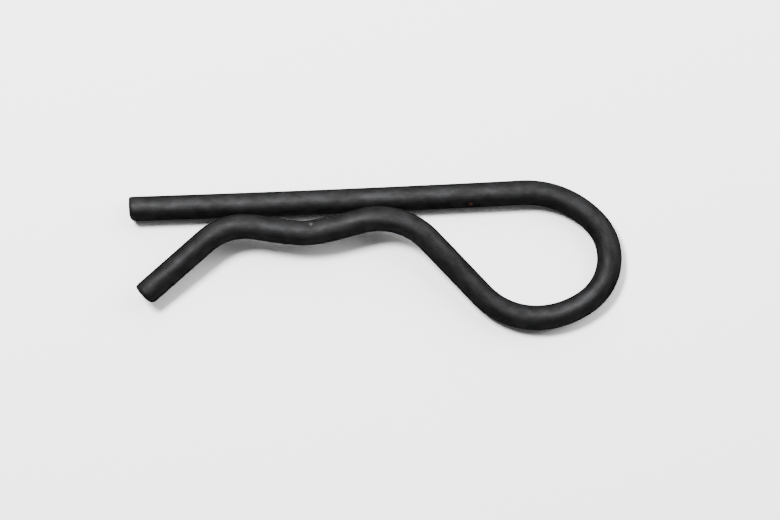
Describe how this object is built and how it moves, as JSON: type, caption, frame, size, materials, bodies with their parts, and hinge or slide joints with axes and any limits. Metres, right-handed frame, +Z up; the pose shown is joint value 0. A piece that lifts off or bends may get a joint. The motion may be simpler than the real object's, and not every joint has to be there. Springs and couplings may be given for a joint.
{
  "type": "hairpin cotter pin",
  "caption": "Hairpin cotter pin of bent round spring wire, with a straight leg, an open loop and a waved leg that grips a shaft.",
  "frame": {"origin": "centre of the straight leg's cut end", "axes": "+X along the straight lead from its cut end towards the loop; the waved leg lies on the -Y side; +Z up, the clip lying at rest with the waved leg over the straight one"},
  "size_m": [0.063, 0.0193, 0.0053],
  "materials": {
    "black_oxide_steel": "oil-darkened black oxide on drawn spring wire, satin with faint die lines"
  },
  "bodies": {
    "root": {"wire_clip": "black_oxide_steel"}
  },
  "joints": []
}
